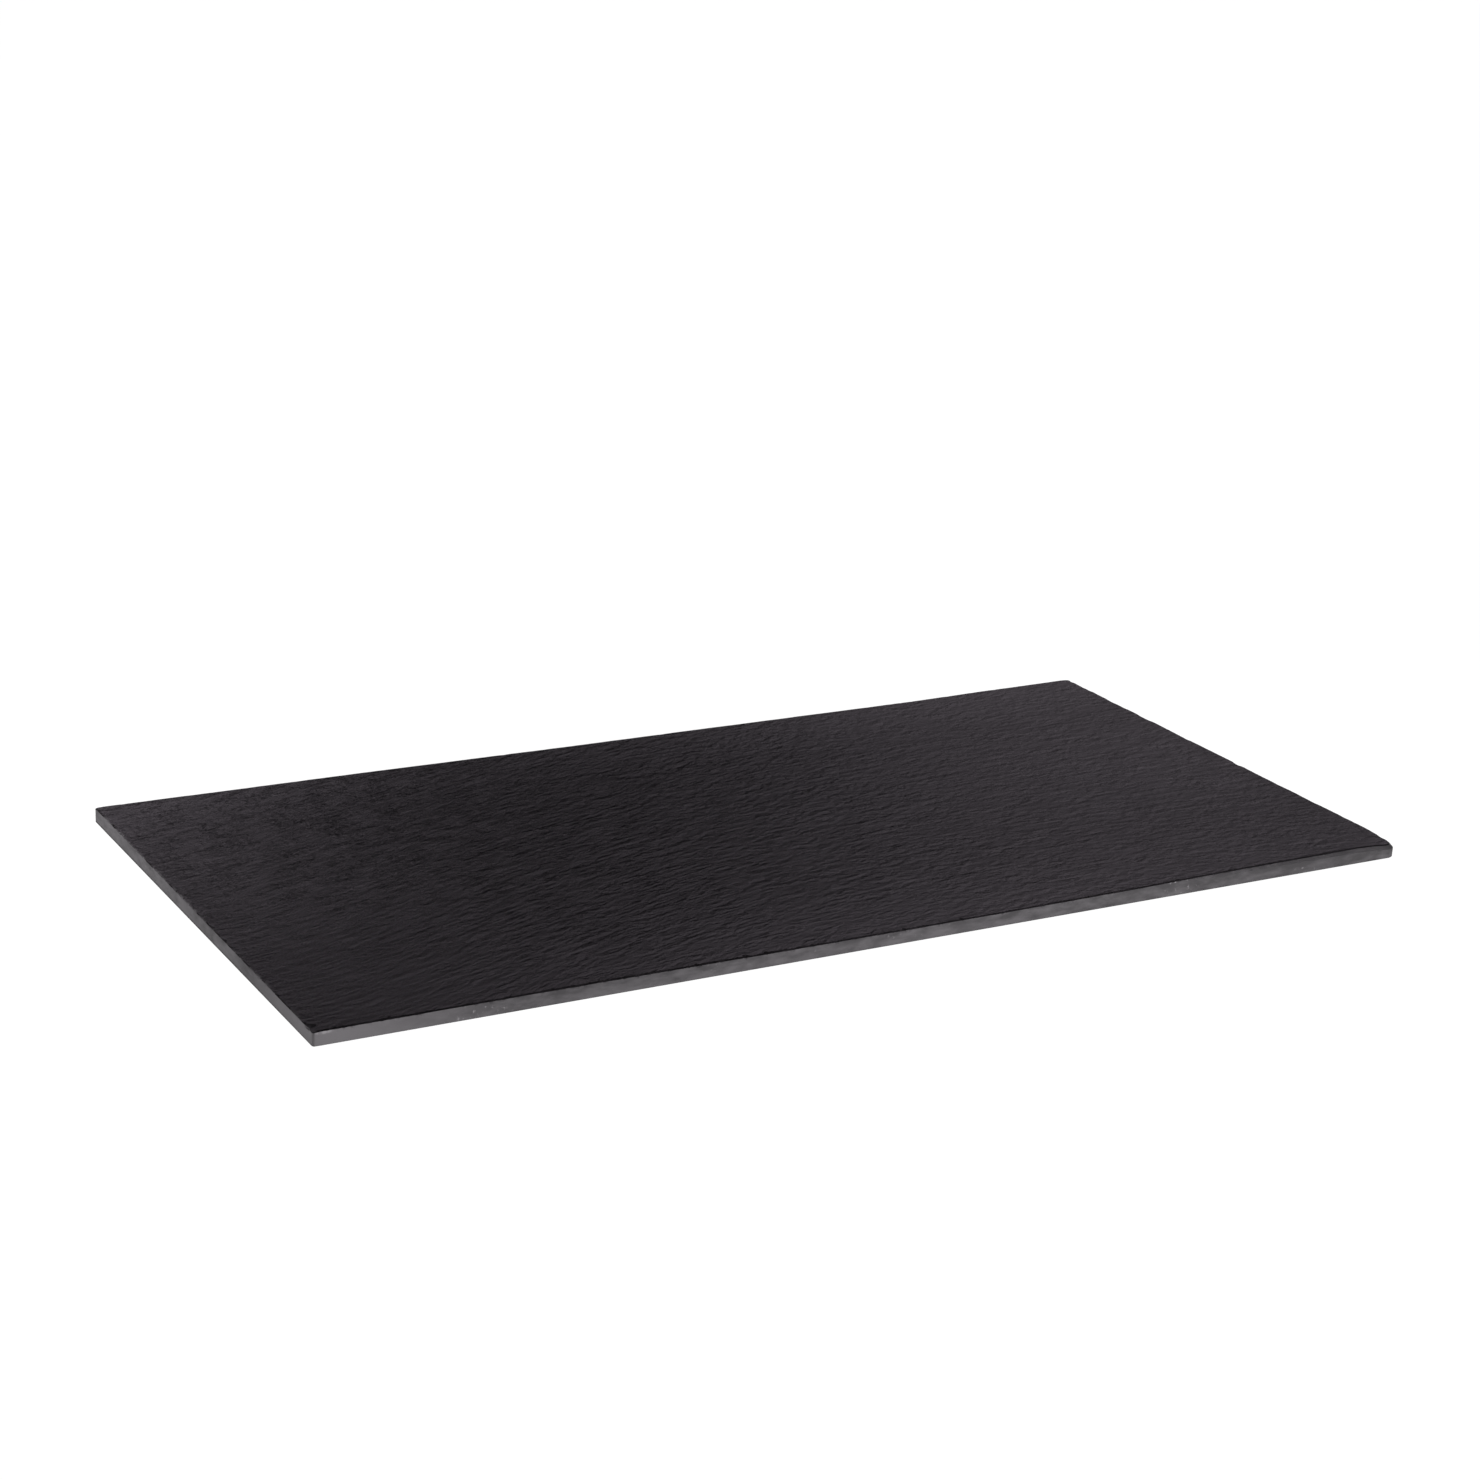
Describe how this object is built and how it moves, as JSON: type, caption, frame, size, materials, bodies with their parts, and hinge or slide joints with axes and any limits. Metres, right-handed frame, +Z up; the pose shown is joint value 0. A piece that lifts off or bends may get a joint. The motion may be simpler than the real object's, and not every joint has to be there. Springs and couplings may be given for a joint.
{
  "type": "slate serving board",
  "caption": "Flat rectangular serving board of dark riven slate with sawn, chipped edges and one worn corner, standing on thin self-adhesive rubber feet at its corners.",
  "frame": {"origin": "on the table under the middle of the board, in the plane of the feet's contact faces", "axes": "+X along the long side towards the worn corner's end, +Y from the front edge to the back edge, +Z up out of the serving face"},
  "size_m": [0.5, 0.25, 0.0075],
  "materials": {
    "slate": "matte",
    "foot_rubber": "matte",
    "adhesive": "satin"
  },
  "bodies": {
    "root": {"slate_slab": "slate", "foot_front_left": "foot_rubber", "foot_front_right": "foot_rubber", "foot_back_left": "foot_rubber", "foot_back_right": "foot_rubber", "adhesive_front_left": "adhesive", "adhesive_front_right": "adhesive", "adhesive_back_left": "adhesive", "adhesive_back_right": "adhesive"}
  },
  "joints": []
}
